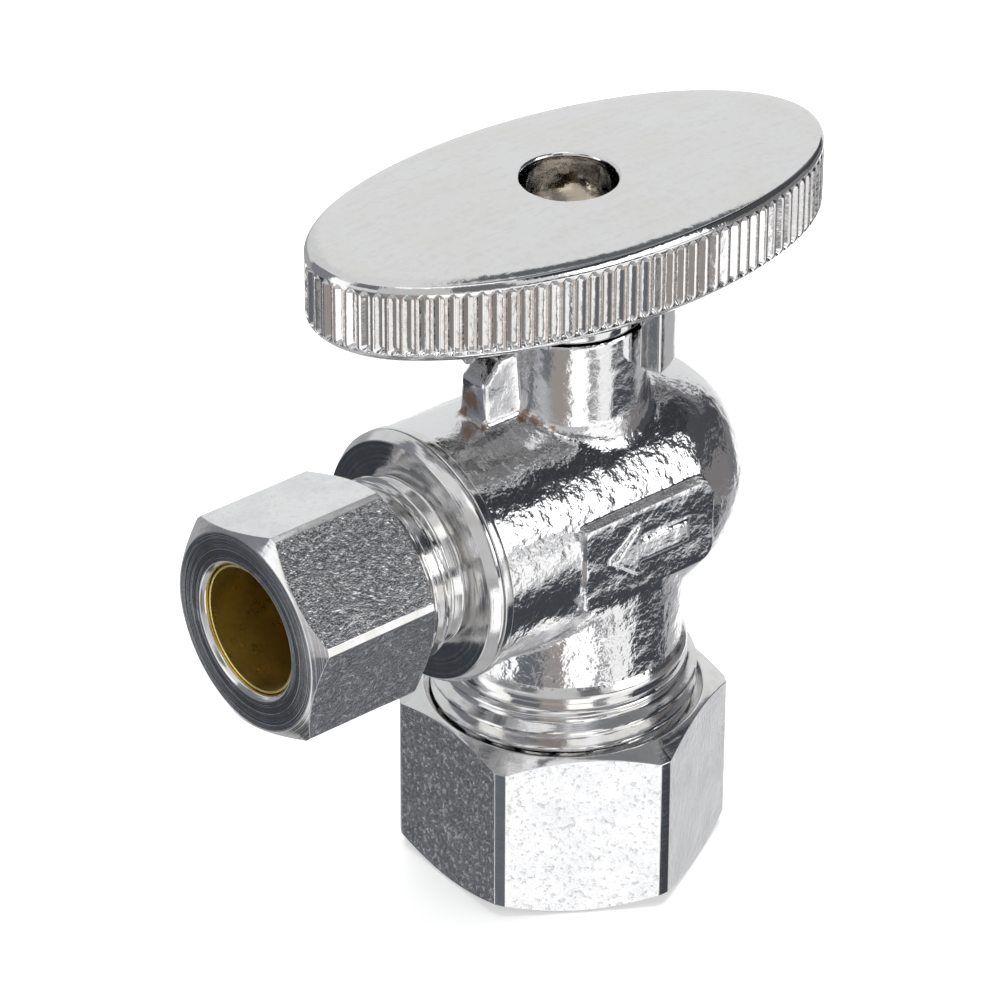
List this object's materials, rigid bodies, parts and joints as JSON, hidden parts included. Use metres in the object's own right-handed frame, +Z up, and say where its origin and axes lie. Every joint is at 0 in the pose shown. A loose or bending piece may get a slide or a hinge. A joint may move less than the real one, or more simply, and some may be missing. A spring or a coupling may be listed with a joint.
{
  "type": "angle stop valve",
  "caption": "Quarter-turn angle stop valve: compression inlet below, smaller compression outlet to the side, oval fluted handle on top.",
  "frame": {"origin": "centre of the inlet nut's lower face, on the axis of the inlet tube and the stem", "axes": "+Z up along the inlet and stem axis, -X out of the outlet, -Y out of the raised pad's face"},
  "size_m": [0.052, 0.0252, 0.0578],
  "materials": {
    "forged_chrome": "rough forging under chrome plate",
    "turned_chrome": "turned and chrome plated",
    "nut_chrome": "hexagonal bar, dull chrome plate",
    "handle_chrome": "die-cast, bright chrome plate",
    "ball_chrome": "polished",
    "turned_brass": "turned",
    "ferrule_brass": "bright",
    "screw_steel": "zinc plated",
    "ptfe": "matte",
    "rubber_seal": "matte"
  },
  "bodies": {
    "body": {"valve_body": "forged_chrome", "outlet_adapter": "turned_chrome", "adapter_oring": "rubber_seal", "outlet_seat": "ptfe", "rear_seat": "ptfe"},
    "handle": {"handle": "handle_chrome", "handle_screw": "screw_steel", "stem": "turned_brass", "thrust_washer": "ptfe", "stem_oring_lower": "rubber_seal", "stem_oring_upper": "rubber_seal"},
    "ball": {"ball": "ball_chrome"},
    "outlet_ferrule": {"outlet_ferrule": "ferrule_brass"},
    "outlet_nut": {"outlet_nut": "nut_chrome"},
    "inlet_ferrule": {"inlet_ferrule": "ferrule_brass"},
    "inlet_nut": {"inlet_nut": "nut_chrome"}
  },
  "joints": [
    {"name": "handle_turn", "type": "hinge", "parent": "body", "child": "handle", "pos_m": [0, 0, 0.0468], "axis": [0, 0, -1], "range_deg": [0, 90]},
    {"name": "ball_turn", "type": "hinge", "parent": "body", "child": "ball", "pos_m": [0, 0, 0.0309], "axis": [0, 0, -1], "range_deg": [0, 90]},
    {"name": "inlet_nut_travel", "type": "slide", "parent": "body", "child": "inlet_ferrule", "axis": [0, 0, -1], "range_m": [0, 0.0085]},
    {"name": "inlet_nut_turn", "type": "hinge", "parent": "inlet_ferrule", "child": "inlet_nut", "pos_m": [0, 0, 0], "axis": [0, 0, -1], "range_deg": [0, 2160]},
    {"name": "outlet_nut_travel", "type": "slide", "parent": "body", "child": "outlet_ferrule", "axis": [-1, 0, 0], "range_m": [0, 0.0059]},
    {"name": "outlet_nut_turn", "type": "hinge", "parent": "outlet_ferrule", "child": "outlet_nut", "pos_m": [-0.025, 0, 0.0309], "axis": [-1, 0, 0], "range_deg": [0, 1980]}
  ],
  "couplings": [
    {"joint": "ball_turn", "follows": "handle_turn", "ratio": 1},
    {"joint": "inlet_nut_travel", "follows": "inlet_nut_turn", "m_per_rad": 0.00022457},
    {"joint": "outlet_nut_travel", "follows": "outlet_nut_turn", "m_per_rad": 0.00016839}
  ]
}
